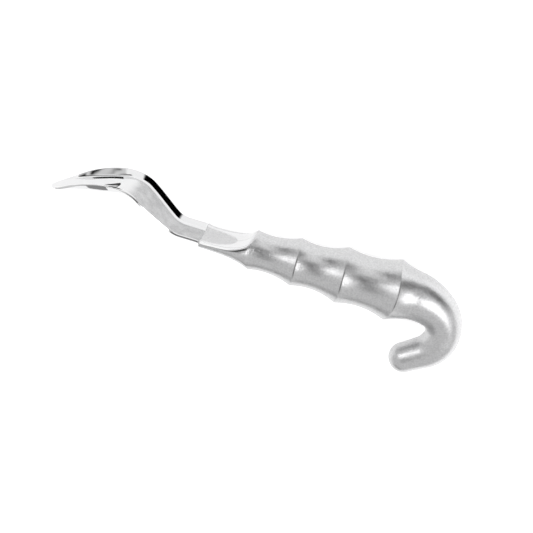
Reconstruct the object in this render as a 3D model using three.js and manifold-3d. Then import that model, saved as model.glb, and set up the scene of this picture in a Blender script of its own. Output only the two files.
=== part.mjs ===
// A hooked-handle lever for opening lobster and crab shells: a cranked steel blade whose flat tang
// is cast into an aluminium finger grip. Millimetres. The tool lies on its side: +X runs from the
// blade tip to the hook, +Y points to the side that the blade is cranked to, and +Z is square to
// the plane that halves the tool. While the pieces are made, x = 0, y = 0 is the centre of the
// front finger ring, on the axis of the grip.
import * as THREE from 'three';
import * as BufferGeometryUtils from 'three/addons/utils/BufferGeometryUtils.js';
import Module from 'manifold-3d';

// Grip: one ring crest in front of each finger, each a pitch behind the ring before it. bow moves
// the sides of a crest towards the hook, lean moves its top towards the hook.
const rings = [
  { pitch: 0, radius: 10.2, bow: -2.4, lean: 0 },
  { pitch: 21.8, radius: 12.3, bow: 0.2, lean: 0 },
  { pitch: 23.7, radius: 14.4, bow: 0.3, lean: 0 },
  { pitch: 26, radius: 15.8, bow: 2.1, lean: 1.0 },
];
const waistDepths = [1.75, 2.2, 2.2];
const crestReach = 12;

// Hook: the grip bends down in a wide arc, then in a tight one, and ends in a short straight.
const hook = {
  startGap: 8.9,
  wideRadius: 28,
  wideTurn: THREE.MathUtils.degToRad(32),
  tightRadius: 15.2,
  tightTurn: THREE.MathUtils.degToRad(113),
  endLength: 10,
  shoulderRadius: 12.8,
  shoulderReach: 12.5,
  bendRadius: 8.9,
  endRadius: 7.8,
  // shares of the length behind the shoulder over which the radius eases to the bend's and the end's
  bendTaper: [-0.15, 0.55],
  endTaper: [0.6, 1],
};

// Tongue: the flat front of the grip, which holds the end of the blade. Heights are above the
// blade's floor. An ear on each side covers the end of the blade's wall.
const tongue = {
  length: 26.5,
  sideWall: 1.1,
  edgeHeight: 1.4,
  rimHeight: 1.6,
  earHeight: 1.3,
  earReach: 2.6,
  dishSkin: 0.9,
  bellyWall: 2,
  cheekPower: 0.8,
  dishFlare: 5.5,
  rimFlare: 6.5,
  sideFlare: 10.5,
};
const ringDishAngle = THREE.MathUtils.degToRad(52.5);
const ringEdgeAngle = THREE.MathUtils.degToRad(78);

// Blade: one strip of sheet, seen from the side as straight runs joined by bends. A run is measured
// along the grip, and a drop is how much further down the run ends than it starts.
const blade = {
  thickness: 1.3,
  floorHeight: -0.4,
  tipRun: 19.2,
  tipDrop: -6.7,
  browRun: 21.9,
  browDrop: -5.5,
  neckRun: 25.3,
  neckDrop: 17.2,
  shankRun: 14.3,
  shankDrop: 0.3,
  browRadius: 60,
  crestRadius: 16,
  valleyRadius: 14,
  lipRadius: 60,
};

// Outline of the blade. Places along it are measured from the tip.
const outline = {
  tipHalfWidth: 5.4,
  shoulderHalfWidth: 14.8,
  shankHalfWidth: 11.2,
  tipRound: 8,
  tipPower: 2.2,
  tipThinning: 0.4,
  tipThinLength: 12,
  shoulderPlace: 49,
  shoulderPower: 0.8,
  narrowLength: 24,
};

// Walls and hollow of the blade.
const channel = {
  wallHeight: 2.6,
  wallStart: 2,
  wallRise: 20,
  wallFillet: 0.5,
  floorShare: 0.55,
  archHeight: 1.1,
  archPlace: 29.5,
  archReach: 15,
  tipWallWidth: 2.6,
  neckWallWidth: 4.8,
  spoonStart: 20,
  spoonLength: 22,
  spoonDepth: 0.8,
};

// Tang: the part of the blade inside the grip, with holes that the casting flows through.
const tang = {
  halfWidth: 6.5,
  endGap: 11.5,
  shoulderLength: 4,
  wallEndsBefore: 1.5,
  wallEndsAfter: 4,
  holeDiameter: 6,
  lastHoleGap: 8,
};
const castingGap = 0.3;

const steelColour = 0xc9cbcd;
const castingColour = 0xb9babb;

const manifoldLibrary = await Module();
manifoldLibrary.setup();

function steel() {
  return new THREE.MeshStandardMaterial({ color: steelColour, roughness: 0.08, metalness: 1 });
}

function castAluminium() {
  return new THREE.MeshStandardMaterial({ color: castingColour, roughness: 0.38, metalness: 1 });
}

// A closed skin over rows of points: every row is a ring with the same number of points.
function loft(rows) {
  const positions = [];
  const indices = [];
  const count = rows[0].length;
  for (const row of rows) {
    for (const point of row) {
      positions.push(point.x, point.y, point.z);
    }
  }
  for (let row = 0; row + 1 < rows.length; row += 1) {
    for (let column = 0; column < count; column += 1) {
      const next = (column + 1) % count;
      const a = row * count + column;
      const b = row * count + next;
      const c = a + count;
      const d = b + count;
      indices.push(a, b, d, a, d, c);
    }
  }
  addCap(positions, indices, rows[0], 0, true);
  addCap(positions, indices, rows.at(-1), (rows.length - 1) * count, false);
  const geometry = new THREE.BufferGeometry();
  geometry.setAttribute('position', new THREE.Float32BufferAttribute(positions, 3));
  geometry.setIndex(indices);
  return geometry;
}

function addCap(positions, indices, row, start, atFront) {
  const centre = new THREE.Vector3();
  for (const point of row) {
    centre.addScaledVector(point, 1 / row.length);
  }
  const hub = positions.length / 3;
  positions.push(centre.x, centre.y, centre.z);
  for (let column = 0; column < row.length; column += 1) {
    const next = (column + 1) % row.length;
    if (atFront) {
      indices.push(hub, start + next, start + column);
    } else {
      indices.push(hub, start + column, start + next);
    }
  }
}

function toManifold(geometry) {
  const bare = geometry.clone();
  bare.deleteAttribute('normal');
  bare.deleteAttribute('uv');
  const merged = BufferGeometryUtils.mergeVertices(bare, 1e-5);
  const { Manifold, Mesh } = manifoldLibrary;
  return new Manifold(new Mesh({
    numProp: 3,
    vertProperties: new Float32Array(merged.attributes.position.array),
    triVerts: new Uint32Array(merged.index.array),
  }));
}

function toGeometry(solid) {
  const mesh = solid.getMesh();
  const geometry = new THREE.BufferGeometry();
  geometry.setAttribute('position', new THREE.BufferAttribute(mesh.vertProperties, 3));
  geometry.setIndex(new THREE.BufferAttribute(mesh.triVerts, 1));
  return geometry;
}

// Evenly spaced values from the first, stopping one step short of the last.
function spread(from, to, steps) {
  return Array.from({ length: steps }, (_, step) => THREE.MathUtils.lerp(from, to, step / steps));
}

// ---- Handle ----

// Each ring with its place along the grip.
const crests = rings.map((ring, index) => ({
  ...ring,
  x: rings.slice(0, index + 1).reduce((total, { pitch }) => total + pitch, 0),
}));
const lastCrest = crests.at(-1);
const hookStart = lastCrest.x + hook.startGap;
const hookEnd = hookStart + hook.wideRadius * hook.wideTurn + hook.tightRadius * hook.tightTurn
  + hook.endLength;

// The centre line as a function of the distance along it, measured from the front ring.
function gripLine(distance) {
  const { wideRadius, wideTurn, tightRadius, tightTurn } = hook;
  const bent = distance - hookStart;
  const first = THREE.MathUtils.clamp(bent / wideRadius, 0, wideTurn);
  const second = THREE.MathUtils.clamp((bent - wideRadius * wideTurn) / tightRadius, 0, tightTurn);
  const turn = first + second;
  const rest = Math.max(bent - wideRadius * wideTurn - tightRadius * tightTurn, 0);
  const x = Math.min(distance, hookStart) + wideRadius * Math.sin(first)
    + tightRadius * (Math.sin(turn) - Math.sin(first)) + rest * Math.cos(turn);
  const y = wideRadius * (Math.cos(first) - 1)
    + tightRadius * (Math.cos(turn) - Math.cos(first)) - rest * Math.sin(turn);
  return { x, y, turn };
}

// The crest in front of a distance along the grip, the one behind it, and the share between them.
function waistAt(distance) {
  const index = crests.findIndex((crest, place) => place > 0 && distance <= crest.x) - 1;
  if (index < 0) {
    return null;
  }
  const from = crests[index];
  const to = crests[index + 1];
  const share = THREE.MathUtils.clamp((distance - from.x) / (to.x - from.x), 0, 1);
  return { from, to, share, depth: waistDepths[index] };
}

// Radius of the grip at a distance along its centre line. Behind the last ring a shoulder falls to
// the hook, which tapers in the bend and again towards its end.
function gripRadius(distance) {
  const waist = waistAt(distance);
  if (waist) {
    const { from, to, share, depth } = waist;
    return THREE.MathUtils.lerp(from.radius, to.radius, share) - depth * 4 * share * (1 - share);
  }
  const { shoulderRadius, shoulderReach, bendRadius, endRadius, bendTaper, endTaper } = hook;
  const behind = distance - lastCrest.x;
  const fall = Math.max(1 - behind / shoulderReach, 0) ** 2;
  const shoulder = THREE.MathUtils.lerp(shoulderRadius, lastCrest.radius, fall);
  const share = (behind - shoulderReach) / (hookEnd - lastCrest.x - shoulderReach);
  const bendShare = THREE.MathUtils.smoothstep(share, ...bendTaper);
  const bend = THREE.MathUtils.lerp(shoulder, bendRadius, bendShare);
  return THREE.MathUtils.lerp(bend, endRadius, THREE.MathUtils.smoothstep(share, ...endTaper));
}

// How far a section is bowed and leaned, blended between the crests and fading out past them.
function crestShift(distance) {
  const waist = distance > 0 ? waistAt(distance) : null;
  if (waist) {
    const { from, to, share } = waist;
    return {
      bow: THREE.MathUtils.lerp(from.bow, to.bow, share),
      lean: THREE.MathUtils.lerp(from.lean, to.lean, share),
    };
  }
  const crest = distance > 0 ? lastCrest : crests[0];
  const share = THREE.MathUtils.clamp(1 - Math.abs(distance - crest.x) / crestReach, 0, 1);
  return { bow: crest.bow * share, lean: crest.lean * share };
}

// Directions round a section, from the top (+Y) towards +Z. The rim of the thumb dish and the edge
// of the tongue fall on a direction each, so that both stay crisp.
function sectionAngles() {
  const dishSteps = 6;
  const flankSteps = 2;
  const underSteps = 12;
  const half = [
    ...spread(0, ringDishAngle, dishSteps),
    ...spread(ringDishAngle, ringEdgeAngle, flankSteps),
    ...spread(ringEdgeAngle, Math.PI, underSteps),
    Math.PI,
  ];
  const mirrored = half.slice(1, -1).reverse().map((angle) => 2 * Math.PI - angle);
  return [...half, ...mirrored];
}

// The tongue's own section: a concave dish on top, a narrow flank, and a round underside.
function tonguePoint(distance, angle) {
  const folded = Math.min(angle, 2 * Math.PI - angle);
  const side = angle <= Math.PI ? 1 : -1;
  const halfWidth = outline.shankHalfWidth + tongue.sideWall;
  const ear = tongue.earHeight * Math.exp(-(distance + tongue.length) / tongue.earReach);
  const rimY = blade.floorHeight + tongue.rimHeight + ear;
  const edgeY = blade.floorHeight + tongue.edgeHeight;
  const depth = tongue.edgeHeight + blade.thickness + tongue.bellyWall;
  if (folded <= ringDishAngle) {
    const across = Math.sin(folded) / Math.sin(ringDishAngle);
    const y = THREE.MathUtils.lerp(blade.floorHeight + tongue.dishSkin, rimY, across ** 2);
    return { y, z: side * outline.shankHalfWidth * across };
  }
  if (folded <= ringEdgeAngle) {
    const share = (folded - ringDishAngle) / (ringEdgeAngle - ringDishAngle);
    return {
      y: THREE.MathUtils.lerp(rimY, edgeY, share),
      z: side * THREE.MathUtils.lerp(outline.shankHalfWidth, halfWidth, share),
    };
  }
  const round = (folded - ringEdgeAngle) / (Math.PI - ringEdgeAngle) * Math.PI / 2;
  return {
    y: edgeY - depth * Math.sin(round),
    z: side * halfWidth * Math.cos(round) ** tongue.cheekPower,
  };
}

// How much of the tongue's section there is: none at the front ring, all of it at the lip. The dish
// flares into the ring over a shorter reach than the sides do.
function tongueShare(distance, angle) {
  if (distance >= 0) {
    return 0;
  }
  const folded = Math.min(angle, 2 * Math.PI - angle);
  const across = Math.min(Math.sin(folded) / Math.sin(ringDishAngle), 1);
  const down = THREE.MathUtils.clamp(
    (folded - ringDishAngle) / (ringEdgeAngle - ringDishAngle),
    0,
    1,
  );
  const dishFlare = THREE.MathUtils.lerp(tongue.dishFlare, tongue.rimFlare, across ** 2);
  const flare = folded <= ringDishAngle
    ? dishFlare
    : THREE.MathUtils.lerp(tongue.rimFlare, tongue.sideFlare, down);
  return (1 - Math.exp(distance / flare)) / (1 - Math.exp(-tongue.length / flare));
}

function gripSection(distance, radius) {
  const { x, y, turn } = gripLine(distance);
  const { bow, lean } = crestShift(distance);
  return sectionAngles().map((angle) => {
    const flat = tonguePoint(distance, angle);
    const share = tongueShare(distance, angle);
    const up = THREE.MathUtils.lerp(radius * Math.cos(angle), flat.y, share);
    const across = THREE.MathUtils.lerp(radius * Math.sin(angle), flat.z, share);
    const along = bow * Math.sin(angle) ** 2 + lean * Math.cos(angle);
    return new THREE.Vector3(
      x + up * Math.sin(turn) + along * Math.cos(turn),
      y + up * Math.cos(turn) - along * Math.sin(turn),
      across,
    );
  });
}

// Places of the sections along the grip, closer together towards the front ring.
function handleStations() {
  const tongueSteps = 16;
  const crowding = 1.3;
  const waistSteps = 9;
  const hookSteps = 30;
  const stations = spread(1, 0, tongueSteps).map((share) => -tongue.length * share ** crowding);
  for (let index = 0; index + 1 < crests.length; index += 1) {
    stations.push(...spread(crests[index].x, crests[index + 1].x, waistSteps));
  }
  stations.push(...spread(lastCrest.x, hookEnd, hookSteps), hookEnd);
  return stations;
}

function gripBody() {
  const rows = handleStations().map((distance) => gripSection(distance, gripRadius(distance)));
  const capSteps = 6;
  for (let step = 1; step < capSteps; step += 1) {
    const angle = Math.PI / 2 * step / capSteps;
    const distance = hookEnd + hook.endRadius * Math.sin(angle);
    rows.push(gripSection(distance, hook.endRadius * Math.cos(angle)));
  }
  return loft(rows);
}

// ---- Blade ----

// A path of straight runs and round corners, kept as runs with a start, a heading and a curvature.
function roundedPath(corners, radii) {
  const runs = [];
  let from = corners[0];
  for (let index = 1; index < corners.length; index += 1) {
    const corner = corners[index];
    const into = corner.clone().sub(corners[index - 1]).normalize();
    const heading = Math.atan2(into.y, into.x);
    if (index + 1 === corners.length) {
      runs.push({ from, heading, length: corner.distanceTo(from), curve: 0 });
      break;
    }
    const out = corners[index + 1].clone().sub(corner).normalize();
    const turn = Math.atan2(into.cross(out), into.dot(out));
    const cut = radii[index] * Math.tan(Math.abs(turn) / 2);
    const start = corner.clone().addScaledVector(into, -cut);
    const curve = Math.sign(turn) / radii[index];
    runs.push({ from, heading, length: start.distanceTo(from), curve: 0 });
    runs.push({ from: start, heading, length: radii[index] * Math.abs(turn), curve });
    from = corner.clone().addScaledVector(out, cut);
  }
  return runs;
}

function pathLength(runs) {
  return runs.reduce((total, run) => total + run.length, 0);
}

function pathPoint(runs, distance) {
  let left = distance;
  let index = 0;
  while (index + 1 < runs.length && left > runs[index].length) {
    left -= runs[index].length;
    index += 1;
  }
  const run = runs[index];
  const heading = run.heading + left * run.curve;
  if (run.curve === 0) {
    const x = run.from.x + left * Math.cos(heading);
    const y = run.from.y + left * Math.sin(heading);
    return { x, y, heading };
  }
  const x = run.from.x + (Math.sin(heading) - Math.sin(run.heading)) / run.curve;
  const y = run.from.y - (Math.cos(heading) - Math.cos(run.heading)) / run.curve;
  return { x, y, heading };
}

const tangEnd = lastCrest.x - tang.endGap;

// The side view of the blade's floor, from the tip, through the neck, to the end of the tang.
function bladeRuns() {
  const lip = new THREE.Vector2(-tongue.length, blade.floorHeight);
  const valley = new THREE.Vector2(lip.x - blade.shankRun, lip.y + blade.shankDrop);
  const crest = new THREE.Vector2(valley.x - blade.neckRun, valley.y + blade.neckDrop);
  const brow = new THREE.Vector2(crest.x - blade.browRun, crest.y + blade.browDrop);
  const tip = new THREE.Vector2(brow.x - blade.tipRun, brow.y + blade.tipDrop);
  const { browRadius, crestRadius, valleyRadius, lipRadius } = blade;
  return roundedPath(
    [tip, brow, crest, valley, lip, new THREE.Vector2(tangEnd, blade.floorHeight)],
    [0, browRadius, crestRadius, valleyRadius, lipRadius, 0],
  );
}

// Half the blade's width at a distance from the tip, in front of the lip.
function outlineHalfWidth(distance) {
  const {
    tipHalfWidth, shoulderHalfWidth, shankHalfWidth, tipRound, tipPower, shoulderPlace,
    shoulderPower, narrowLength,
  } = outline;
  const round = THREE.MathUtils.clamp(distance / tipRound, 0, 1);
  const tipShare = (1 - (1 - round) ** tipPower) ** (1 / tipPower);
  const taper = Math.min(distance / shoulderPlace, 1) ** shoulderPower;
  const widening = THREE.MathUtils.lerp(tipHalfWidth, shoulderHalfWidth, taper);
  const narrowing = THREE.MathUtils.smoothstep(distance - shoulderPlace, 0, narrowLength);
  return tipShare * THREE.MathUtils.lerp(widening, shankHalfWidth, narrowing);
}

// Height of the blade's walls above its floor at a distance from the tip, in front of the lip.
function channelHeight(distance) {
  const rise = THREE.MathUtils.smoothstep(distance, channel.wallStart, channel.wallRise);
  const fromArch = Math.min(Math.abs(distance - channel.archPlace) / channel.archReach, 1);
  return channel.wallHeight * rise + channel.archHeight * Math.cos(Math.PI / 2 * fromArch) ** 2;
}

// Depth of the hollow in the middle of the floor.
function spoonHollow(distance) {
  const along = THREE.MathUtils.clamp((distance - channel.spoonStart) / channel.spoonLength, 0, 1);
  return channel.spoonDepth * Math.sin(Math.PI * along) ** 2;
}

// The cross-section of the strip at a distance from the tip, along the blade and its tang.
function stripShape(distance, lipDistance) {
  const inside = distance - lipDistance;
  const shoulder = THREE.MathUtils.clamp(inside / tang.shoulderLength, 0, 1);
  const fade = THREE.MathUtils.smoothstep(inside, -tang.wallEndsBefore, tang.wallEndsAfter);
  const halfWidth = THREE.MathUtils.lerp(outlineHalfWidth(distance), tang.halfWidth, shoulder);
  const wallWidth = THREE.MathUtils.lerp(
    channel.tipWallWidth,
    channel.neckWallWidth,
    THREE.MathUtils.smoothstep(distance, channel.archPlace, outline.shoulderPlace),
  );
  return {
    halfWidth,
    floorHalfWidth: Math.max(halfWidth - wallWidth, halfWidth * channel.floorShare),
    wallHeight: channelHeight(distance) * (1 - fade),
    spoon: spoonHollow(distance),
    thinning: outline.tipThinning * Math.max(1 - distance / outline.tipThinLength, 0),
  };
}

// Height of the strip's upper face above its floor at a place across it.
function stripHeight(shape, across) {
  const out = Math.abs(across);
  const wall = (out - shape.floorHalfWidth) / (shape.halfWidth - shape.floorHalfWidth);
  if (wall <= 0) {
    const hollow = Math.cos(Math.PI / 2 * out / shape.floorHalfWidth) ** 2;
    return -shape.spoon * hollow;
  }
  const fillet = channel.wallFillet;
  const ramp = wall < fillet ? wall ** 2 / (2 * fillet) : wall - fillet / 2;
  return shape.wallHeight * ramp / (1 - fillet / 2);
}

// How the strip's upper face leans at a place across it, measured towards the middle.
function stripLean(shape, across) {
  const reach = 1e-3 * Math.sign(across || 1);
  return Math.atan((stripHeight(shape, across) - stripHeight(shape, across - reach)) / reach);
}

// Places across half the strip, from beside the middle to the edge.
function placesAcross(shape) {
  const floorSteps = 5;
  const wallSteps = 4;
  return [
    ...spread(shape.floorHalfWidth, 0, floorSteps).reverse(),
    ...spread(shape.halfWidth, shape.floorHalfWidth, wallSteps).reverse(),
  ];
}

// One closed section of the strip, its upper face first. grow makes the strip thicker and wider
// all round, which gives the pocket that the strip sits in.
function stripSection(runs, distance, lipDistance, grow) {
  const shape = stripShape(distance, lipDistance);
  const half = placesAcross(shape);
  const places = [...half.map((place) => -place).reverse(), 0, ...half];
  const upper = [];
  const lower = [];
  const drop = blade.thickness + grow;
  for (const across of places) {
    const height = stripHeight(shape, across);
    const lean = stripLean(shape, across);
    const edge = Math.abs(across) === shape.halfWidth ? Math.sign(across) * grow : 0;
    upper.push({
      z: across - grow * Math.sin(lean) + edge * Math.cos(lean),
      up: height - shape.thinning + grow * Math.cos(lean) + edge * Math.sin(lean),
    });
    lower.push({
      z: across + drop * Math.sin(lean) + edge * Math.cos(lean),
      up: height - drop * Math.cos(lean) + edge * Math.sin(lean),
    });
  }
  const { x, y, heading } = pathPoint(runs, distance);
  return [...upper, ...lower.reverse()].map(({ z, up }) => new THREE.Vector3(
    x - up * Math.sin(heading),
    y + up * Math.cos(heading),
    z,
  ));
}

function stripLoft(distances, runs, lipDistance, grow) {
  return loft(distances.map((distance) => stripSection(runs, distance, lipDistance, grow)));
}

// Round solids where the casting flows through the tang: one between each two of the first three
// rings, and one near the tang's end.
function anchors(diameter) {
  const sides = 24;
  const height = 6 * blade.thickness;
  const places = [
    (crests[0].x + crests[1].x) / 2,
    (crests[1].x + crests[2].x) / 2,
    tangEnd - tang.lastHoleGap,
  ];
  const solids = places.map((place) => {
    const cylinder = new THREE.CylinderGeometry(diameter / 2, diameter / 2, height, sides);
    cylinder.translate(place, blade.floorHeight - blade.thickness / 2, 0);
    return toManifold(cylinder);
  });
  return solids.reduce((joined, solid) => joined.add(solid));
}

function shoulderStations(lipDistance) {
  const shoulderSteps = 6;
  const shoulderEnd = lipDistance + tang.shoulderLength;
  return [...spread(lipDistance, shoulderEnd, shoulderSteps), shoulderEnd];
}

function bladeBody(runs, lipDistance) {
  const tipSteps = 8;
  const bladeSteps = 44;
  const tip = spread(0, Math.PI / 2, tipSteps).slice(1);
  const distances = [
    ...tip.map((angle) => outline.tipRound * (1 - Math.cos(angle))),
    ...spread(outline.tipRound, lipDistance, bladeSteps),
    ...shoulderStations(lipDistance),
    pathLength(runs),
  ];
  const strip = toManifold(stripLoft(distances, runs, lipDistance, 0));
  return strip.subtract(anchors(tang.holeDiameter));
}

// The space in the grip for the end of the blade and its tang, less the plugs through the holes.
function tangPocket(runs, lipDistance) {
  const openSteps = 2;
  const distances = [
    ...spread(lipDistance - tang.wallEndsBefore, lipDistance, openSteps),
    ...shoulderStations(lipDistance),
    pathLength(runs) + castingGap,
  ];
  const space = toManifold(stripLoft(distances, runs, lipDistance, castingGap));
  return space.subtract(anchors(tang.holeDiameter - 2 * castingGap));
}

function buildTool() {
  const runs = bladeRuns();
  const lipDistance = pathLength(runs) - tangEnd - tongue.length;
  const bladeMesh = new THREE.Mesh(toGeometry(bladeBody(runs, lipDistance)), steel());
  bladeMesh.name = 'blade';
  const grip = toManifold(gripBody()).subtract(tangPocket(runs, lipDistance));
  const handleMesh = new THREE.Mesh(toGeometry(grip), castAluminium());
  handleMesh.name = 'handle';
  const tool = new THREE.Group();
  tool.add(bladeMesh, handleMesh);
  const box = new THREE.Box3().setFromObject(tool);
  tool.position.set(-(box.min.x + box.max.x) / 2, -(box.min.y + box.max.y) / 2, -box.min.z);
  return tool;
}

export default buildTool();
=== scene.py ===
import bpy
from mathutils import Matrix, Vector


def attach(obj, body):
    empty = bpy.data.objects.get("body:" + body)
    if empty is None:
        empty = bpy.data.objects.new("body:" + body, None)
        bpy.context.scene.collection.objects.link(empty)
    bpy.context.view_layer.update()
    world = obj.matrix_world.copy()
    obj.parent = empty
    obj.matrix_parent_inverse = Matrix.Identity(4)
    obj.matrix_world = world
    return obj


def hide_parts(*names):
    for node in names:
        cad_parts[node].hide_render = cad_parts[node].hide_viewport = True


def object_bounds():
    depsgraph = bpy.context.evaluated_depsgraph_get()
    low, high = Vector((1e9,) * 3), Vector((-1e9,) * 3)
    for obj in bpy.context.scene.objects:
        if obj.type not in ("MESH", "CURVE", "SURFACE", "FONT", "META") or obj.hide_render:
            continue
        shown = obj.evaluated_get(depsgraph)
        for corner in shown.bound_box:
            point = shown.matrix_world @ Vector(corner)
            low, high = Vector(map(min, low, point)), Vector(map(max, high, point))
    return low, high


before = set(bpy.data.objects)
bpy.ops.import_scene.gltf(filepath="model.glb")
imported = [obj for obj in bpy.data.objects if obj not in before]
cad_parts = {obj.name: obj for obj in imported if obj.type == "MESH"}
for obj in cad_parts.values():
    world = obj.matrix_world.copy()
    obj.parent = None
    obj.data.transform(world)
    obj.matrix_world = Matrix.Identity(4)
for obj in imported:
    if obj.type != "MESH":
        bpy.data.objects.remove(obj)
cadBox = [[round(v, 6) for v in corner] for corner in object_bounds()]
print("frame loaded, box", cadBox)

import math

import bpy
import numpy as np
from mathutils import Matrix, Vector

# The two pieces are worked out in millimetres on the grip's own axes: x along the grip from the
# centre of its front ring towards the hook, y to the side that the blade is cranked to, and z square
# to the plane that halves the tool. seatPieces puts both of them into the frame at once.


class Wire:
    # a socket of a node, to write sums with
    def __init__(self, sheet, socket):
        self.sheet = sheet
        self.socket = socket

    def __add__(self, other):
        return self.sheet.sum("ADD", self, other)

    __radd__ = __add__

    def __sub__(self, other):
        return self.sheet.sum("SUBTRACT", self, other)

    def __rsub__(self, other):
        return self.sheet.sum("SUBTRACT", other, self)

    def __mul__(self, other):
        return self.sheet.sum("MULTIPLY", self, other)

    __rmul__ = __mul__

    def __truediv__(self, other):
        return self.sheet.sum("DIVIDE", self, other)

    def __rtruediv__(self, other):
        return self.sheet.sum("DIVIDE", other, self)

    def __pow__(self, other):
        return self.sheet.sum("POWER", self, other)

    def __neg__(self):
        return self.sheet.sum("MULTIPLY", self, -1.0)


class NodeSheet:
    # a node tree that is filled in from Python
    def __init__(self, tree):
        self.tree = tree

    def node(self, kind, settings=None, sockets=None, output=0):
        made = self.tree.nodes.new(kind)
        for name, value in (settings or {}).items():
            setattr(made, name, value)
        for name, value in (sockets or {}).items():
            if isinstance(value, Wire):
                self.tree.links.new(value.socket, made.inputs[name])
            else:
                made.inputs[name].default_value = value
        return Wire(self, made.outputs[output]) if made.outputs else None

    def sum(self, operation, *values):
        return self.node("ShaderNodeMath", {"operation": operation}, dict(enumerate(values)))

    def between(self, value, low, high):
        return self.sum("MINIMUM", self.sum("MAXIMUM", value, low), high)

    def ease(self, value, low, high):
        # smoothly from 0 at low to 1 at high
        return self.node(
            "ShaderNodeMapRange",
            {"interpolation_type": "SMOOTHSTEP"},
            {"Value": value, "From Min": low, "From Max": high},
        )

    def axis(self, vector, number):
        return self.node("ShaderNodeSeparateXYZ", {}, {"Vector": vector}, output=number)

    def mix(self, share, low, high):
        return low + (high - low) * share

    def blend(self, share, low, high):
        # two colours, each a wire or three numbers
        low, high = (shade if isinstance(shade, Wire) else (*shade, 1.0) for shade in (low, high))
        return self.node(
            "ShaderNodeMix", {"data_type": "RGBA"}, {0: share, 6: low, 7: high}, output=2
        )

    def noise(self, place, perMetre, detail):
        return self.node(
            "ShaderNodeTexNoise", {}, {"Vector": place, "Scale": perMetre, "Detail": detail}
        )

    def mark(self, name):
        # a value that the mesh carries on its points
        return self.node("ShaderNodeAttribute", {"attribute_name": name}, output="Fac")

    def bump(self, height, distance, below=None):
        under = {} if below is None else {"Normal": below}
        sockets = {"Strength": 1.0, "Distance": distance, "Height": height, **under}
        return self.node("ShaderNodeBump", {}, sockets)

    def metal(self, tone, roughness, bump):
        shader = self.node("ShaderNodeBsdfPrincipled", {}, {
            "Base Color": tone,
            "Metallic": 1.0,
            "Roughness": roughness,
            "Normal": bump,
        })
        self.node("ShaderNodeOutputMaterial", {}, {"Surface": shader})


def newMaterial(name):
    material = bpy.data.materials.new(name)
    material.use_nodes = True
    material.node_tree.nodes.clear()
    return material, NodeSheet(material.node_tree)


castFinish = {
    "grey": (0.70, 0.70, 0.705),
    "darkGrey": (0.50, 0.50, 0.505),
    "roughness": 0.32,
    "roughnessSpread": 0.12,
    "grainPerMetre": 1150.0,   # blasted grain, a little under a millimetre
    "grainHeight": 0.00007,
    "grainTone": 0.6,          # how far the grain and the slow changes show in the grey
    "grainEdges": (0.25, 0.75),
    "mottlePerMetre": 260.0,   # slow changes of the blasting
    "mottleTone": 0.4,
    "mottleHeight": 0.35,
    "pitsPerMetre": 620.0,
    "pitEdges": (0.08, 0.26),
    "pitDepth": 0.5,
    # the polished rim's tone, painted brighter than the casting as a highlight band
    "polishedHighlight": (0.80, 0.80, 0.805),
    "polishedRoughness": 0.12,
    # near-black of the painted shade line beside the last three rings
    "crestShadeLine": (0.12, 0.12, 0.12),
}


def castMaterial(finish):
    material, sheet = newMaterial("satinCasting")
    place = sheet.node("ShaderNodeTexCoord", output="Object")
    grain = sheet.noise(place, finish["grainPerMetre"], 2.0)
    mottle = sheet.noise(place, finish["mottlePerMetre"], 3.0)
    pits = sheet.node(
        "ShaderNodeTexVoronoi",
        {"feature": "F1"},
        {"Vector": place, "Scale": finish["pitsPerMetre"], "Randomness": 1.0},
    )
    pitMask = 1.0 - sheet.ease(pits, *finish["pitEdges"])
    polishAndHighlight = sheet.mark("polishAndHighlight")
    crestShadeLine = sheet.between(sheet.mark("crestShadeLine"), 0.0, 1.0)
    greyShare = sheet.ease(grain, *finish["grainEdges"]) * finish["grainTone"]
    greyShare = sheet.between(greyShare + mottle * finish["mottleTone"], 0.0, 1.0)
    tone = sheet.blend(greyShare, finish["darkGrey"], finish["grey"])
    # polished rim: its lower roughness is real, its brighter tone is a painted highlight band
    tone = sheet.blend(polishAndHighlight, tone, finish["polishedHighlight"])
    # painted shade: a near-black line beside each of the last three rings
    tone = sheet.blend(crestShadeLine, tone, finish["crestShadeLine"])
    roughness = finish["roughness"] + (mottle - 0.5) * finish["roughnessSpread"]
    roughness = sheet.mix(polishAndHighlight, roughness, finish["polishedRoughness"])
    height = grain + mottle * finish["mottleHeight"] - pitMask * finish["pitDepth"]
    bump = sheet.bump(height * (1.0 - polishAndHighlight), finish["grainHeight"])
    sheet.metal(tone, roughness, bump)
    return material


steelFinish = {
    "bright": (0.74, 0.74, 0.745),
    "mirrorRoughness": 0.035,
    "wavePerMetre": 60.0,      # faint unevenness of hand polishing
    "waveHeight": 0.00003,
    "waveRoughness": 0.02,
    "brushed": (0.38, 0.38, 0.385),
    "brushedRoughness": 0.24,
    "brushedTone": 0.3,        # the least share of the brushed grey, to which the next two add
    "speckTone": 0.5,
    "speckPerMetre": 1300.0,
    "speckHeight": 0.00005,
    "speckRoughness": 0.12,
    "blotchTone": 0.4,
    "blotchPerMetre": 170.0,
    "blotchEdges": (0.3, 0.8),
}


def steelMaterial(finish):
    material, sheet = newMaterial("polishedSteel")
    place = sheet.node("ShaderNodeTexCoord", output="Object")
    brushed = sheet.mark("brushed")
    speck = sheet.noise(place, finish["speckPerMetre"], 2.0)
    wave = sheet.noise(place, finish["wavePerMetre"], 1.0)
    blotch = sheet.noise(place, finish["blotchPerMetre"], 3.0)
    blotched = sheet.ease(blotch, *finish["blotchEdges"]) * finish["blotchTone"]
    greyShare = brushed * (finish["brushedTone"] + speck * finish["speckTone"] + blotched)
    tone = sheet.blend(greyShare, finish["bright"], finish["brushed"])
    mirror = finish["mirrorRoughness"] + wave * finish["waveRoughness"]
    rubbed = finish["brushedRoughness"] + (speck - 0.5) * finish["speckRoughness"]
    speckBump = sheet.bump(speck * brushed, finish["speckHeight"])
    bump = sheet.bump(wave, finish["waveHeight"], speckBump)
    sheet.metal(tone, sheet.mix(brushed, mirror, rubbed), bump)
    return material


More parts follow.
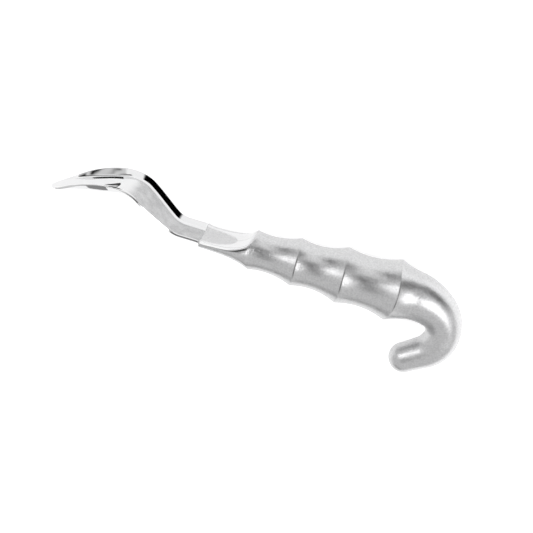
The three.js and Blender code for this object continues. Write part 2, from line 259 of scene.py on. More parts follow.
def rowsToMesh(name, rows, attributes=None):
    # rows: stations x points x 3, each row a closed ring; both ends get a pole
    stations, count = rows.shape[:2]
    points = [rows.reshape(-1, 3), rows[0].mean(axis=0)[None], rows[-1].mean(axis=0)[None]]
    faces = []
    for row in range(stations - 1):
        for column in range(count):
            a = row * count + column
            b = row * count + (column + 1) % count
            faces.append((a, b, b + count, a + count))
    front = stations * count
    last = (stations - 1) * count
    for column in range(count):
        following = (column + 1) % count
        faces.append((front, following, column))
        faces.append((front + 1, last + column, last + following))
    mesh = bpy.data.meshes.new(name)
    mesh.from_pydata(np.concatenate(points).tolist(), [], faces)
    for key, values in (attributes or {}).items():
        ends = [values[0].mean(), values[-1].mean()]
        data = np.concatenate([values.reshape(-1), ends]).astype(np.float32)
        mesh.attributes.new(key, "FLOAT", "POINT").data.foreach_set("value", data)
    return mesh


def newObject(name, mesh):
    piece = bpy.data.objects.new(name, mesh)
    bpy.context.scene.collection.objects.link(piece)
    return piece


def easeStep(value, low, high):
    share = np.clip((value - low) / (high - low), 0.0, 1.0)
    return share * share * (3.0 - 2.0 * share)


def crowded(start, end, steps):
    # values from start, closer together at both ends, without the last one
    share = (1.0 - np.cos(np.pi * np.arange(steps) / steps)) / 2.0
    return start + (end - start) * share


def plainMesh(piece):
    # the piece with its modifiers worked in, as a mesh of its own
    bpy.context.view_layer.update()
    graph = bpy.context.evaluated_depsgraph_get()
    mesh = bpy.data.meshes.new_from_object(piece.evaluated_get(graph))
    piece.modifiers.clear()
    piece.data = mesh
    return mesh


def cut(piece, tool):
    # takes the tool's volume out of the piece
    modifier = piece.modifiers.new("cut", "BOOLEAN")
    modifier.operation = "DIFFERENCE"
    modifier.solver = "EXACT"
    modifier.object = tool
    plainMesh(piece)


gripSizes = {
    "ring 1 place": 0.0, "ring 1 radius": 10.2, "ring 1 bow": -2.4, "ring 1 lean": 0.0,
    "ring 2 place": 21.8, "ring 2 radius": 12.3, "ring 2 bow": 0.2, "ring 2 lean": 0.0,
    "ring 3 place": 45.5, "ring 3 radius": 14.4, "ring 3 bow": 0.3, "ring 3 lean": 0.0,
    "ring 4 place": 71.5, "ring 4 radius": 15.8, "ring 4 bow": 2.1, "ring 4 lean": 1.0,
    "waist 1 depth": 1.75, "waist 2 depth": 2.2, "waist 3 depth": 2.2,
    "crest reach": 12.0, "crest softness": 0.3,
    "hook start": 80.4, "hook end": 136.02,
    "wide radius": 28.0, "wide turn": math.radians(32.0),
    "tight radius": 15.2, "tight turn": math.radians(113.0),
    "shoulder radius": 12.8, "shoulder reach": 12.5,
    "bend radius": 8.9, "end radius": 7.8,
    "tongue length": 26.5, "tongue side wall": 1.1, "tongue edge height": 1.4,
    "tongue rim height": 1.6, "ear height": 1.3, "ear reach": 2.6, "dish skin": 0.9,
    "tongue depth": 4.7, "cheek power": 0.8,
    "dish flare": 5.5, "rim flare": 6.5, "side flare": 10.5,
    "dish angle": math.radians(52.5), "edge angle": math.radians(78.0),
    "blade half width": 11.2, "blade floor": -0.4, "rim softness": 0.25,
}
gripShares = {
    "frontSlope": 4.0,                # steeper than any tongue, so that the first waist wins there
    "bendTaper": (-0.15, 0.55),       # over which shares of the hook the radius eases to the bend's
    "endTaper": (0.6, 1.0),           # and to the end's
    "flankRun": 1.3,                  # how far the flank's line runs on past the edge
    "lipCentre": 0.65,                # depth below the blade's floor that the lip closes towards
    "lipRows": (0.0, 0.05, 0.15, 0.3),    # places behind the lip, in millimetres
    "lipInsets": (0.05, 0.02, 0.006),     # how far the first of them draw in, to round the lip
    "tongueStart": 0.45,
    "tongueCrowding": 1.6,
    "hookCrowding": 1.25,
}
# the blasted oval in the thumb dish; the rim round it is polished, with its tone painted brighter as a
# highlight band, and a fine line of painted shade along its top
thumbDish = {
    "length": 17.5, "width": 0.7, "fade": 0.07, "ringFade": 3.0,
    "linePlace": 0.86, "lineWidth": 0.04, "lineDepth": 0.9,
}
# the fine line of painted shade beside the last three rings, between these angles from the top
ringShadeLine = {"behind": 0.3, "width": 0.32, "from": (0.7, 1.2), "to": (1.55, 2.0)}
gripDetail = {"tongue": 60, "waist": 44, "hook": 110, "cap": 16, "dish": 22, "flank": 12, "under": 36}


def gripRule(finish):
    # a tree that moves each point of the tube to where the grip's rule puts it
    tree = bpy.data.node_groups.new("gripRule", "GeometryNodeTree")
    tree.interface.new_socket(name="tube", in_out="INPUT", socket_type="NodeSocketGeometry")
    tree.interface.new_socket(name="grip", in_out="OUTPUT", socket_type="NodeSocketGeometry")
    for name in gripSizes:
        tree.interface.new_socket(name=name, in_out="INPUT", socket_type="NodeSocketFloat")
    sheet = NodeSheet(tree)
    given = tree.nodes.new("NodeGroupInput")
    size = {name: Wire(sheet, given.outputs[name]) for name in gripSizes}

    def read(name):
        return sheet.node("GeometryNodeInputNamedAttribute", {"data_type": "FLOAT"}, {"Name": name})

    along = read("along")
    folded = read("folded")      # angle from the top of the section, the same on both sides
    side = read("side")
    inset = read("inset")
    x, y, turn = centreLine(sheet, size, along)
    radius = gripRadius(sheet, size, along)
    bow, lean = crestShift(sheet, size, along)
    tongueUp, tongueOut = tongueSection(sheet, size, along, folded)
    share = tongueShare(sheet, size, along, folded)
    cosine = sheet.sum("COSINE", folded)
    sine = sheet.sum("SINE", folded)
    up = sheet.mix(share, radius * cosine, tongueUp)
    out = sheet.mix(share, radius * sine, tongueOut)
    up = sheet.mix(inset, up, size["blade floor"] - gripShares["lipCentre"])
    out = side * out * (1.0 - inset)
    shift = bow * sine * sine + lean * cosine
    place = sheet.node("ShaderNodeCombineXYZ", {}, {
        "X": x + up * sheet.sum("SINE", turn) + shift * sheet.sum("COSINE", turn),
        "Y": y + up * sheet.sum("COSINE", turn) - shift * sheet.sum("SINE", turn),
        "Z": out,
    })
    moved = sheet.node("GeometryNodeSetPosition", {}, {
        "Geometry": Wire(sheet, given.outputs["tube"]),
        "Position": place,
    })
    real = sheet.node("GeometryNodeRealizeInstances", {}, {"Geometry": moved})
    dressed = sheet.node("GeometryNodeSetMaterial", {}, {"Geometry": real, "Material": finish})
    sheet.node("NodeGroupOutput", {}, {"grip": dressed})
    return tree


def centreLine(sheet, size, along):
    # straight along the rings, then a wide bend, a tight bend and a straight end
    bent = along - size["hook start"]
    wideLength = size["wide radius"] * size["wide turn"]
    first = sheet.between(bent / size["wide radius"], 0.0, size["wide turn"])
    second = sheet.between((bent - wideLength) / size["tight radius"], 0.0, size["tight turn"])
    turn = first + second
    tightLength = size["tight radius"] * size["tight turn"]
    rest = sheet.sum("MAXIMUM", bent - wideLength - tightLength, 0.0)
    sineFirst = sheet.sum("SINE", first)
    cosineFirst = sheet.sum("COSINE", first)
    sineTurn = sheet.sum("SINE", turn)
    cosineTurn = sheet.sum("COSINE", turn)
    x = sheet.sum("MINIMUM", along, size["hook start"]) + size["wide radius"] * sineFirst
    x = x + size["tight radius"] * (sineTurn - sineFirst) + rest * cosineTurn
    y = size["wide radius"] * (cosineFirst - 1.0)
    y = y + size["tight radius"] * (cosineTurn - cosineFirst) - rest * sineTurn
    return x, y, turn


def gripRadius(sheet, size, along):
    # each waist is a hollow curve from ring to ring; the lowest curve counts, softened where two meet
    soft = size["crest softness"]
    radius = size["ring 1 radius"] + gripShares["frontSlope"] * sheet.sum("MAXIMUM", along, 0.0)
    for number in (1, 2, 3):
        start = size[f"ring {number} place"]
        share = (along - start) / (size[f"ring {number + 1} place"] - start)
        chord = sheet.mix(share, size[f"ring {number} radius"], size[f"ring {number + 1} radius"])
        hollow = chord - size[f"waist {number} depth"] * 4.0 * share * (1.0 - share)
        radius = sheet.sum("SMOOTH_MIN", radius, hollow, soft)
    behind = along - size["ring 4 place"]
    fall = sheet.sum("MAXIMUM", 1.0 - behind / size["shoulder reach"], 0.0)
    shoulder = sheet.mix(fall * fall, size["shoulder radius"], size["ring 4 radius"])
    radius = sheet.sum("SMOOTH_MIN", radius, shoulder, soft)
    taperLength = size["hook end"] - size["ring 4 place"] - size["shoulder reach"]
    share = (behind - size["shoulder reach"]) / taperLength
    radius = sheet.mix(sheet.ease(share, *gripShares["bendTaper"]), radius, size["bend radius"])
    radius = sheet.mix(sheet.ease(share, *gripShares["endTaper"]), radius, size["end radius"])
    past = sheet.between((along - size["hook end"]) / size["end radius"], 0.0, 1.0)
    return radius * sheet.sum("SQRT", sheet.sum("MAXIMUM", 1.0 - past * past, 0.0))


def crestShift(sheet, size, along):
    # bow and lean of the crests, blended from ring to ring
    bow = 0.0
    lean = 0.0
    for number in (1, 2, 3, 4):
        centre = size[f"ring {number} place"]
        before = size["crest reach"] if number == 1 else centre - size[f"ring {number - 1} place"]
        after = size["crest reach"] if number == 4 else size[f"ring {number + 1} place"] - centre
        rise = 1.0 - (centre - along) / before
        fall = 1.0 - (along - centre) / after
        share = sheet.sum("MAXIMUM", sheet.sum("MINIMUM", rise, fall), 0.0)
        bow = share * size[f"ring {number} bow"] + bow
        lean = share * size[f"ring {number} lean"] + lean
    return bow, lean


def tongueSection(sheet, size, along, folded):
    # a concave thumb dish, a narrow flank and a round underside
    soft = size["rim softness"]
    floorUp = size["blade floor"]
    ear = size["ear height"] * sheet.sum("EXPONENT", -(along + size["tongue length"]) / size["ear reach"])
    rimUp = floorUp + size["tongue rim height"] + ear
    edgeUp = floorUp + size["tongue edge height"]
    dishSine = sheet.sum("SINE", size["dish angle"])
    quarter = math.pi / 2.0
    across = sheet.sum("SINE", sheet.sum("MINIMUM", folded, quarter)) / dishSine
    dishUp = sheet.mix(across * across, floorUp + size["dish skin"], rimUp)
    down = (folded - size["dish angle"]) / (size["edge angle"] - size["dish angle"])
    flankUp = sheet.mix(sheet.sum("MINIMUM", down, gripShares["flankRun"]), rimUp, edgeUp)
    roundness = (folded - size["edge angle"]) / (math.pi - size["edge angle"]) * quarter
    underUp = edgeUp - size["tongue depth"] * sheet.sum("SINE", roundness)
    up = sheet.sum("SMOOTH_MIN", dishUp, flankUp, soft)
    up = sheet.sum("SMOOTH_MIN", up, underUp, soft)
    cheek = sheet.sum("COSINE", sheet.between(roundness, 0.0, quarter))
    cheek = sheet.sum("MAXIMUM", cheek, 0.0) ** size["cheek power"]
    width = size["blade half width"] * sheet.between(across, 0.0, 1.0)
    width = width + size["tongue side wall"] * sheet.between(down, 0.0, 1.0)
    return up, width * cheek


def tongueShare(sheet, size, along, folded):
    # none at the front ring, all at the lip; the dish flares more quickly than the sides
    dishSine = sheet.sum("SINE", size["dish angle"])
    across = sheet.sum("SINE", sheet.sum("MINIMUM", folded, size["dish angle"])) / dishSine
    down = (folded - size["dish angle"]) / (size["edge angle"] - size["dish angle"])
    flare = sheet.mix(across * across, size["dish flare"], size["rim flare"])
    flare = flare + (size["side flare"] - size["rim flare"]) * sheet.between(down, 0.0, 1.0)
    inFront = sheet.sum("SMOOTH_MAX", -along, 0.0, size["crest softness"])
    reached = 1.0 - sheet.sum("EXPONENT", -inFront / flare)
    return reached / (1.0 - sheet.sum("EXPONENT", -size["tongue length"] / flare))


def polishAndHighlightMark(along, folded):
    # 1 on the polished rim of the thumb dish, where a brighter tone is painted as a highlight, 0 on the
    # blasted metal
    length, dish, edge = (gripSizes[name] for name in ("tongue length", "dish angle", "edge angle"))
    reach = np.clip(1.0 - (along + length) / thumbDish["length"], 0.0, 1.0)[:, None]
    oval = thumbDish["width"] * dish * np.sqrt(1.0 - (1.0 - reach) ** 2)
    polishAndHighlight = easeStep(folded[None], oval - thumbDish["fade"], oval + thumbDish["fade"])
    polishAndHighlight = polishAndHighlight * (1.0 - easeStep(folded, edge, edge + thumbDish["fade"]))[None]
    polishAndHighlight = polishAndHighlight * (1.0 - easeStep(along, -thumbDish["ringFade"], 0.0))[:, None]
    # a fine line of painted shade along the top of the rim, where the polished tone is taken away
    rimShadeLine = np.exp(-((folded - thumbDish["linePlace"] * dish) / thumbDish["lineWidth"]) ** 2)
    return polishAndHighlight * (1.0 - thumbDish["lineDepth"] * rimShadeLine)[None]


def crestShadeLineMark(along, folded):
    # 1 along the fine line of painted shade beside each of the last three rings
    shown = easeStep(folded, *ringShadeLine["from"]) * (1.0 - easeStep(folded, *ringShadeLine["to"]))
    places = [gripSizes[f"ring {number} place"] + ringShadeLine["behind"] for number in (2, 3, 4)]
    lines = sum(np.exp(-((along - place) / ringShadeLine["width"]) ** 2) for place in places)
    return lines[:, None] * shown[None]


def gripTube():
    # the tube's rows: where each one is along the grip, and the angles round it
    length = gripSizes["tongue length"]
    places = [gripSizes[f"ring {number} place"] for number in (1, 2, 3, 4)]
    lip = -length + np.array(gripShares["lipRows"])
    shares = 1.0 - np.arange(gripDetail["tongue"]) / gripDetail["tongue"]
    tongue = -(length - gripShares["tongueStart"]) * shares ** gripShares["tongueCrowding"]
    waists = [crowded(a, b, gripDetail["waist"]) for a, b in zip(places, places[1:])]
    hookShare = np.arange(gripDetail["hook"]) / gripDetail["hook"]
    hookShare = hookShare ** gripShares["hookCrowding"]
    hook = places[3] + (gripSizes["hook end"] - places[3]) * hookShare
    angle = np.pi / 2.0 * np.arange(gripDetail["cap"]) / gripDetail["cap"]
    cap = gripSizes["hook end"] + gripSizes["end radius"] * np.sin(angle)
    along = np.concatenate([lip, tongue, *waists, hook, cap])
    inset = np.zeros_like(along)
    inset[:len(gripShares["lipInsets"])] = gripShares["lipInsets"]
    dish, edge = gripSizes["dish angle"], gripSizes["edge angle"]
    half = np.concatenate([
        crowded(0.0, dish, gripDetail["dish"]),
        crowded(dish, edge, gripDetail["flank"]),
        crowded(edge, np.pi, gripDetail["under"]),
        [np.pi],
    ])
    folded = np.concatenate([half, half[1:-1][::-1]])
    side = np.concatenate([np.ones(len(half)), -np.ones(len(half) - 2)])
    grid = np.ones((len(along), len(folded)))
    rows = np.zeros((len(along), len(folded), 3))   # the rule tree moves them to their places
    values = {
        "along": along[:, None] * grid,
        "folded": folded[None] * grid,
        "side": side[None] * grid,
        "inset": inset[:, None] * grid,
        "polishAndHighlight": polishAndHighlightMark(along, folded),
        "crestShadeLine": crestShadeLineMark(along, folded),
    }
    return rowsToMesh("handleTube", rows, values)


def makeGrip(finish):
    piece = newObject("castHandle", gripTube())
    modifier = piece.modifiers.new("gripRule", "NODES")
    modifier.node_group = gripRule(finish)
    for item in modifier.node_group.interface.items_tree:
        if item.name in gripSizes:
            modifier[item.identifier] = gripSizes[item.name]
    mesh = plainMesh(piece)
    fixEnds(mesh)
    for name in ("along", "folded", "side", "inset"):
        mesh.attributes.remove(mesh.attributes[name])
    print("grip shaped:", len(mesh.polygons), "faces")
    return piece


def fixEnds(mesh):
    # the two poles sit in the middle of their rings
    count = len(mesh.vertices) - 2
    places = np.empty(len(mesh.vertices) * 3, np.float32)
    mesh.vertices.foreach_get("co", places)
    places = places.reshape(-1, 3)
    ring = 2 * (gripDetail["dish"] + gripDetail["flank"] + gripDetail["under"])
    places[count] = places[:ring].mean(axis=0)
    places[count + 1] = places[count - ring:count].mean(axis=0)
    mesh.vertices.foreach_set("co", places.reshape(-1))
    mesh.update()


bladeSizes = {
    "thickness": 1.3, "floor": -0.4,
    "tip run": 19.2, "tip drop": -6.7, "brow run": 21.9, "brow drop": -5.5,
    "neck run": 25.3, "neck drop": 17.2, "shank run": 14.3, "shank drop": 0.3,
    "brow radius": 60.0, "crest radius": 16.0, "valley radius": 14.0, "lip radius": 60.0,
    "tip half width": 5.4, "shoulder half width": 14.8, "shank half width": 11.2,
    "tip round": 8.0, "tip power": 2.2, "tip thinning": 0.4, "tip thin length": 12.0,
    "shoulder place": 49.0, "shoulder power": 0.8, "narrow length": 24.0,
    "wall height": 2.6, "wall start": 2.0, "wall rise": 20.0, "wall fillet": 0.42,
    "floor share": 0.55, "arch height": 1.1, "arch place": 29.5, "arch reach": 15.0,
    "tip wall width": 2.6, "neck wall width": 4.8,
    "spoon start": 20.0, "spoon length": 22.0, "spoon depth": 0.8,
    "edge round": 0.32, "edge share": 0.2, "edge inset": 1.1,
    "brush edge": (0.97, 1.1), "brush start": (41.0, 47.0),
    "tang half width": 6.5, "tang end": 60.0, "tang shoulder": 4.0,
    "wall ends before": 1.5, "wall ends after": 4.0,
    "hole diameter": 6.0, "hole places": (10.9, 33.65, 52.0),
    "pocket gap": 0.06,
}
bladeDetail = {
    "tip": 26, "tip skipped": 2, "length": 230, "pocket": 6, "shoulder": 14, "tang": 8,
    "floor": 18, "wall": 16, "round": 4, "hole": 64,
}


def sidePath(sizes):
    # the side view of the blade's floor as straight and round runs, from the tip to the tang's end
    corner = np.array([-gripSizes["tongue length"], sizes["floor"]])
    corners = [np.array([sizes["tang end"], sizes["floor"]]), corner]
    for name in ("shank", "neck", "brow", "tip"):
        corner = corner + np.array([-sizes[name + " run"], sizes[name + " drop"]])
        corners.append(corner)
    corners.reverse()
    radii = [sizes[name + " radius"] for name in ("brow", "crest", "valley", "lip")]
    runs = []
    start = corners[0]
    for index, radius in enumerate(radii, 1):
        into = corners[index] - corners[index - 1]
        into = into / np.linalg.norm(into)
        out = corners[index + 1] - corners[index]
        out = out / np.linalg.norm(out)
        heading = math.atan2(into[1], into[0])
        turn = math.atan2(into[0] * out[1] - into[1] * out[0], into @ out)
        reach = radius * math.tan(abs(turn) / 2.0)
        bendStart = corners[index] - into * reach
        runs.append((start, heading, np.linalg.norm(bendStart - start), 0.0))
        runs.append((bendStart, heading, radius * abs(turn), math.copysign(1.0 / radius, turn)))
        start = corners[index] + out * reach
    runs.append((start, math.atan2(out[1], out[0]), np.linalg.norm(corners[-1] - start), 0.0))
    return runs


def alongPath(runs, distance):
    # the place on the side view, and the heading there
    for start, heading, length, curve in runs:
        if distance <= length or length is runs[-1][2]:
            break
        distance = distance - length
    turned = heading + distance * curve
    if curve == 0.0:
        return start[0] + distance * math.cos(heading), start[1] + distance * math.sin(heading), turned
    x = start[0] + (math.sin(turned) - math.sin(heading)) / curve
    y = start[1] - (math.cos(turned) - math.cos(heading)) / curve
    return x, y, turned


def halfWidthAt(sizes, distance):
    # a round tip, a swelling to the shoulder, then narrower to the shank
    rounded = np.clip(distance / sizes["tip round"], 0.0, 1.0)
    tipShare = (1.0 - (1.0 - rounded) ** sizes["tip power"]) ** (1.0 / sizes["tip power"])
    taper = min(distance / sizes["shoulder place"], 1.0) ** sizes["shoulder power"]
    width = sizes["tip half width"] + (sizes["shoulder half width"] - sizes["tip half width"]) * taper
    narrow = easeStep(distance - sizes["shoulder place"], 0.0, sizes["narrow length"])
    return tipShare * (width + (sizes["shank half width"] - width) * narrow)


def sectionAt(sizes, distance, lip):
    # what the sheet's section measures at this distance from the tip
    inside = distance - lip
    shoulder = np.clip(inside / sizes["tang shoulder"], 0.0, 1.0)
    half = halfWidthAt(sizes, distance)
    half = half + (sizes["tang half width"] - half) * shoulder
    spread = easeStep(distance, sizes["arch place"], sizes["shoulder place"])
    wallWidth = sizes["tip wall width"] + (sizes["neck wall width"] - sizes["tip wall width"]) * spread
    fade = easeStep(inside, -sizes["wall ends before"], sizes["wall ends after"])
    nearArch = min(abs(distance - sizes["arch place"]) / sizes["arch reach"], 1.0)
    arch = sizes["arch height"] * math.cos(math.pi / 2.0 * nearArch) ** 2
    rise = sizes["wall height"] * easeStep(distance, sizes["wall start"], sizes["wall rise"])
    hollow = np.clip((distance - sizes["spoon start"]) / sizes["spoon length"], 0.0, 1.0)
    return {
        "half": half,
        "floorHalf": max(half - wallWidth, half * sizes["floor share"]),
        "wall": (rise + arch) * (1.0 - fade),
        "spoon": sizes["spoon depth"] * math.sin(math.pi * hollow) ** 2,
        "thinning": sizes["tip thinning"] * max(1.0 - distance / sizes["tip thin length"], 0.0),
    }


def heightAcross(sizes, section, out):
    # height and slope of the upper face, going outwards from the middle
    fillet = sizes["wall fillet"]
    scale = 1.0 - fillet / 2.0
    wallWidth = section["half"] - section["floorHalf"]
    wall = (out - section["floorHalf"]) / wallWidth
    inFillet = wall < fillet
    ramp = np.where(inFillet, wall ** 2 / (2.0 * fillet), wall - fillet / 2.0)
    rampSlope = np.where(inFillet, wall / fillet, 1.0) / wallWidth
    angle = np.pi / 2.0 * out / section["floorHalf"]
    hollow = -section["spoon"] * np.cos(angle) ** 2
    hollowSlope = section["spoon"] * np.sin(2.0 * angle) * np.pi / 2.0 / section["floorHalf"]
    height = np.where(wall <= 0.0, hollow, section["wall"] * ramp / scale)
    slope = np.where(wall <= 0.0, hollowSlope, section["wall"] * rampSlope / scale)
    return height, slope


def stripRing(sizes, section, grow):
    # one closed ring of (across, up): upper face, round edge, lower face, round edge
    rounding = min(sizes["edge round"], section["half"] * sizes["edge share"])
    wallTop = section["half"] - rounding * sizes["edge inset"]
    out = np.concatenate([
        np.linspace(0.0, section["floorHalf"], bladeDetail["floor"] + 1),
        np.linspace(section["floorHalf"], wallTop, bladeDetail["wall"] + 1)[1:],
        [section["half"]],
    ])
    height, slope = heightAcross(sizes, section, out)
    lean = np.arctan(slope)
    faceNormal = np.stack([-np.sin(lean), np.cos(lean)], axis=1)
    upper = np.stack([out, height - section["thinning"]], axis=1) + faceNormal * grow
    lower = np.stack([out, height], axis=1) - faceNormal * (sizes["thickness"] + grow)
    outward = np.array([math.cos(lean[-1]), math.sin(lean[-1])])
    normal = faceNormal[-1]
    turn = np.pi / 2.0 * np.arange(bladeDetail["round"] + 1)[:, None] / bladeDetail["round"]
    topCentre = upper[-1] + outward * (grow - rounding) - normal * rounding
    bottomCentre = lower[-1] + outward * (grow - rounding) + normal * rounding
    topArc = topCentre + rounding * (normal * np.cos(turn) + outward * np.sin(turn))
    bottomArc = bottomCentre + rounding * (outward * np.cos(turn) - normal * np.sin(turn))
    right = np.concatenate([upper[:-1], topArc, bottomArc, lower[:-1][::-1]])
    return right, np.concatenate([out[:-1], out[-1:].repeat(2 * len(turn)), out[:-1][::-1]])


def stripMesh(name, sizes, distances, lip, runs, grow):
    # the sheet as a mesh, thicker all round by grow
    rows = []
    brushed = []
    for distance in distances:
        section = sectionAt(sizes, distance, lip)
        right, out = stripRing(sizes, section, grow)
        across = np.concatenate([right[:, 0], -right[1:-1][::-1, 0]])
        up = np.concatenate([right[:, 1], right[1:-1][::-1, 1]])
        x, y, heading = alongPath(runs, distance)
        rows.append(np.stack([
            x - up * math.sin(heading),
            y + up * math.cos(heading),
            across,
        ], axis=1))
        inner, outer = (section["floorHalf"] * share for share in sizes["brush edge"])
        onFloor = 1.0 - easeStep(out, inner, outer)
        upperSide = np.arange(len(out)) < len(out) / 2
        mark = onFloor * upperSide * easeStep(distance, *sizes["brush start"])
        brushed.append(np.concatenate([mark, mark[1:-1][::-1]]))
    return rowsToMesh(name, np.array(rows), {"brushed": np.array(brushed)})


def holeTool(name, sizes, diameter):
    # three upright cylinders in one mesh
    tool = newObject(name, bpy.data.meshes.new(name))
    points = []
    faces = []
    sides = bladeDetail["hole"]
    reach = 3.0 * sizes["thickness"]     # well past both faces of the sheet
    middle = sizes["floor"] - sizes["thickness"] / 2.0
    for place in sizes["hole places"]:
        start = len(points)
        for up in (-reach, reach):
            for step in range(sides):
                angle = 2.0 * math.pi * step / sides
                points.append((
                    place + diameter / 2.0 * math.cos(angle),
                    middle + up,
                    -diameter / 2.0 * math.sin(angle),
                ))
        faces.append([start + step for step in reversed(range(sides))])
        faces.append([start + sides + step for step in range(sides)])
        for step in range(sides):
            following = (step + 1) % sides
            faces.append((
                start + step, start + following, start + sides + following, start + sides + step
            ))
    tool.data.from_pydata(points, [], faces)
    return tool


def makeBlade(finish):
    sizes = bladeSizes
    runs = sidePath(sizes)
    total = sum(run[2] for run in runs)
    lip = total - sizes["tang end"] - gripSizes["tongue length"]
    shoulderEnd = lip + sizes["tang shoulder"]
    tipSteps = np.arange(bladeDetail["tip skipped"], bladeDetail["tip"])
    tipAngle = np.pi / 2.0 * tipSteps / bladeDetail["tip"]
    shoulderRows = np.linspace(lip, shoulderEnd, bladeDetail["shoulder"], endpoint=False)
    tangRows = np.linspace(shoulderEnd, total, bladeDetail["tang"])
    distances = np.concatenate([
        sizes["tip round"] * (1.0 - np.cos(tipAngle)),
        np.linspace(sizes["tip round"], lip, bladeDetail["length"], endpoint=False),
        shoulderRows,
        tangRows,
    ])
    piece = newObject("steelBlade", stripMesh("steelBlade", sizes, distances, lip, runs, 0.0))
    holes = holeTool("tangHoles", sizes, sizes["hole diameter"])
    cut(piece, holes)
    pocketRows = np.concatenate([
        np.linspace(lip - sizes["wall ends before"], lip, bladeDetail["pocket"], endpoint=False),
        shoulderRows,
        tangRows[:-1],
        [total + sizes["pocket gap"]],
    ])
    gap = sizes["pocket gap"]
    pocket = newObject("pocket", stripMesh("pocket", sizes, pocketRows, lip, runs, gap))
    plugs = holeTool("plugs", sizes, sizes["hole diameter"] - 2.0 * gap)
    cut(pocket, plugs)
    bpy.data.objects.remove(holes)
    bpy.data.objects.remove(plugs)
    piece.data.materials.clear()
    piece.data.materials.append(finish)
    print("blade shaped:", len(piece.data.polygons), "faces")
    return piece, pocket


sharpAngle = math.radians(38.0)     # edges sharper than this are not shaded smooth


def seatPieces(pieces):
    # millimetres on the grip's axes to metres in the frame, box centre on box centre
    corners = np.array([corner[:] for piece in pieces for corner in piece.bound_box])
    centre = (corners.min(axis=0) + corners.max(axis=0)) / 2.0
    wanted = (np.array(cadBox[0]) + np.array(cadBox[1])) / 2.0
    placing = Matrix.Translation(Vector(wanted - centre * 0.001)) @ Matrix.Scale(0.001, 4)
    for piece in pieces:
        piece.data.transform(placing)
        piece.data.shade_smooth()
        piece.data.set_sharp_from_angle(angle=sharpAngle)
        piece.data.update()
    return placing


satinCasting = castMaterial(castFinish)
polishedSteel = steelMaterial(steelFinish)
handle = makeGrip(satinCasting)
blade, pocket = makeBlade(polishedSteel)
cut(handle, pocket)
bpy.data.objects.remove(pocket)
handle.data.materials.clear()
handle.data.materials.append(satinCasting)
seat = seatPieces([handle, blade])
for piece, node in ((handle, "handle"), (blade, "blade")):
    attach(piece, "root")
    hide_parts(node)
print("pieces seated")


cameraView = {
    "aim": (8.2336, -5.8207, 2.4643),   # on the grip's axes, in millimetres
    "distance": 0.5,                    # metres
    "nearest": 0.01,
    "sensor": 36.0,
    "azimuth": 83.75,
    "elevation": 63.25,
    "roll": 201.49,
    "lens": 67.54,
}


def standCamera(view):
    # looks at the aim from the given side, turned about its own axis by the roll
    camera = bpy.data.objects.new("camera", bpy.data.cameras.new("camera"))
    bpy.context.scene.collection.objects.link(camera)
    camera.data.sensor_width = view["sensor"]
    camera.data.lens = view["lens"]
    camera.data.clip_start = view["nearest"]
    azimuth = math.radians(view["azimuth"])
    elevation = math.radians(view["elevation"])
    back = Vector((
        math.cos(elevation) * math.cos(azimuth),
        math.cos(elevation) * math.sin(azimuth),
        math.sin(elevation),
    ))
    level = Vector((0.0, 0.0, 1.0)).cross(back).normalized()
    roll = math.radians(view["roll"])
    right = level * math.cos(roll) + back.cross(level) * math.sin(roll)
    up = back.cross(right)
    turned = Matrix((right, up, back)).transposed().to_4x4()
    aim = seat @ Vector(view["aim"])
    camera.matrix_world = Matrix.Translation(aim + back * view["distance"]) @ turned
    bpy.context.scene.camera = camera


studio = {
    "floorGrey": (0.60, 0.60, 0.60),
    "floorGlow": (0.68, 0.68, 0.68),    # the table is lit from below, so that it stays white
    "paintedLightPool": (0.95, 0.95, 0.95),     # and a painted pool of light, glowing more strongly past the hook
    "paintedLightPoolFrom": (0.085, 0.13),
    "floorSize": 6.0,
    "floorRoughness": 0.9,
    "wallGrey": 0.76,          # the room, where nothing hangs in it
    "edgeSoftness": 3.5,       # degrees
    # what hangs in the room: from and to azimuth, from and to elevation, brightness
    "hung": {
        "ceiling": (-190.0, 190.0, 74.0, 100.0, 0.3),
        "headPanel": (-24.0, 34.0, 40.0, 67.0, 2.9),
        "tailPanel": (124.0, 160.0, 36.0, 59.0, 2.6),
        "cameraShade": (50.0, 106.0, 46.0, 88.0, 0.08),
        "sidePanel": (70.0, 113.0, -12.0, 37.0, 1.15),
        "blackCard": (26.0, 70.0, -12.0, 28.0, 0.0),
        "brownCard": (115.0, 131.0, 33.0, 47.0, 0.03),
        "lowCard": (102.0, 126.0, -8.0, 24.0, 0.05),
        "farShade": (-125.0, -75.0, -12.0, 16.0, 0.3),
    },
}


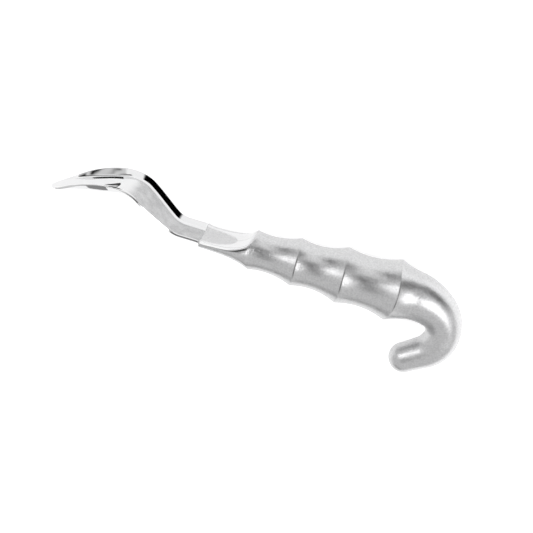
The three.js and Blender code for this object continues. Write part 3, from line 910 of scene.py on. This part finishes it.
def layFloor(studio):
    # a white table that glows evenly, with a painted pool of light past the hook
    half = studio["floorSize"] / 2.0
    corners = [(-half, -half, 0.0), (half, -half, 0.0), (half, half, 0.0), (-half, half, 0.0)]
    mesh = bpy.data.meshes.new("floor")
    mesh.from_pydata(corners, [], [(0, 1, 2, 3)])
    floor = newObject("floor", mesh)
    material, sheet = newMaterial("palePaper")
    place = sheet.node("ShaderNodeTexCoord", output="Object")
    # painted pool of light on the table past the hook
    pastHook = sheet.ease(sheet.axis(place, 0), *studio["paintedLightPoolFrom"])
    glow = sheet.blend(pastHook, studio["floorGlow"], studio["paintedLightPool"])
    shader = sheet.node("ShaderNodeBsdfPrincipled", {}, {
        "Base Color": (*studio["floorGrey"], 1.0),
        "Roughness": studio["floorRoughness"],
        "Emission Color": glow,
        "Emission Strength": 1.0,
    })
    sheet.node("ShaderNodeOutputMaterial", {}, {"Surface": shader})
    mesh.materials.append(material)


def paintRoom(studio):
    # the room round the table: grey walls with soft-edged panels and cards hung in them
    world = bpy.data.worlds.new("studio")
    bpy.context.scene.world = world
    world.use_nodes = True
    world.node_tree.nodes.clear()
    sheet = NodeSheet(world.node_tree)
    towards = sheet.node("ShaderNodeTexCoord", output="Generated")
    x, y, z = (sheet.axis(towards, number) for number in range(3))
    azimuth = sheet.sum("ARCTAN2", y, x) * (180.0 / math.pi)
    elevation = sheet.sum("ARCSINE", z) * (180.0 / math.pi)
    soft = studio["edgeSoftness"]
    light = studio["wallGrey"]
    for left, right, low, high, brightness in studio["hung"].values():
        mask = sheet.ease(azimuth, left - soft, left + soft)
        mask = mask * (1.0 - sheet.ease(azimuth, right - soft, right + soft))
        mask = mask * sheet.ease(elevation, low - soft, low + soft)
        mask = mask * (1.0 - sheet.ease(elevation, high - soft, high + soft))
        light = sheet.mix(mask, light, brightness)
    shader = sheet.node(
        "ShaderNodeBackground", {}, {"Color": (1.0, 1.0, 1.0, 1.0), "Strength": light}
    )
    sheet.node("ShaderNodeOutputWorld", {}, {"Surface": shader})


standCamera(cameraView)
layFloor(studio)
paintRoom(studio)
bpy.context.scene.view_settings.view_transform = "Standard"
print("studio lit")
